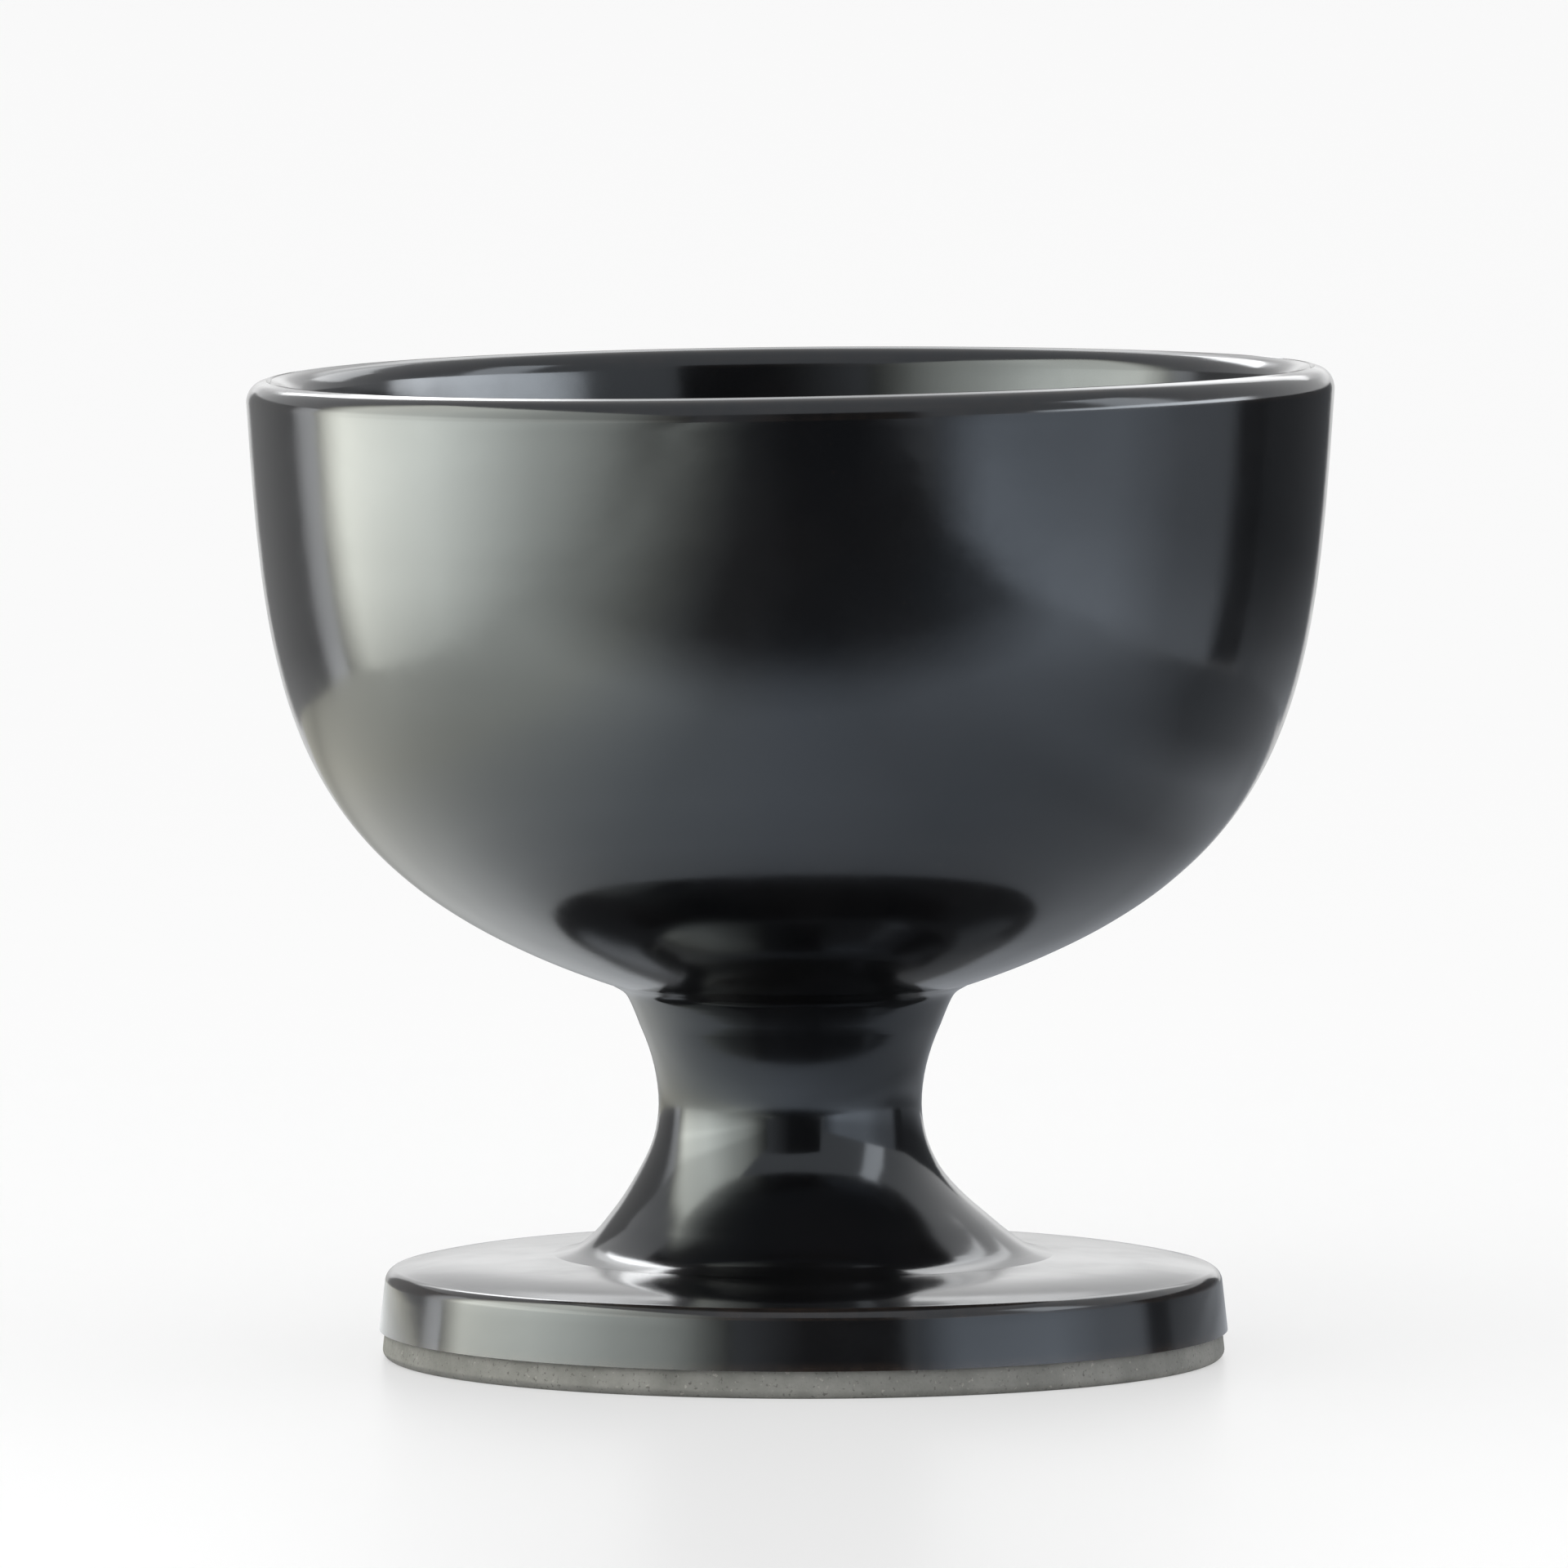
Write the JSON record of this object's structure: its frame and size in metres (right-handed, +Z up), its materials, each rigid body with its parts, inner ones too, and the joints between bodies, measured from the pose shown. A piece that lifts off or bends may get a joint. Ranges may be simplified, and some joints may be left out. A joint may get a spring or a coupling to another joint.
{
  "type": "footed bowl",
  "caption": "Deep round glazed bowl with upright walls on a short waisted stem and a thick round foot plate, for fruit, sweets or display.",
  "frame": {"origin": "centre of the standing ring, on the surface that the bowl stands on", "axes": "+Z up along the axis that the vessel is turned about; X and Y are alike"},
  "size_m": [0.16, 0.16, 0.1456],
  "materials": {
    "clay": "bare fired clay",
    "slip": "fired slip",
    "glaze": "glossy black glaze"
  },
  "bodies": {
    "root": {"foot_plate": "clay", "foot_slip_ring": "slip", "stem": "clay", "neck_slip_ring": "slip", "bowl": "clay", "inside_glaze": "glaze", "outside_glaze": "glaze"}
  },
  "joints": []
}
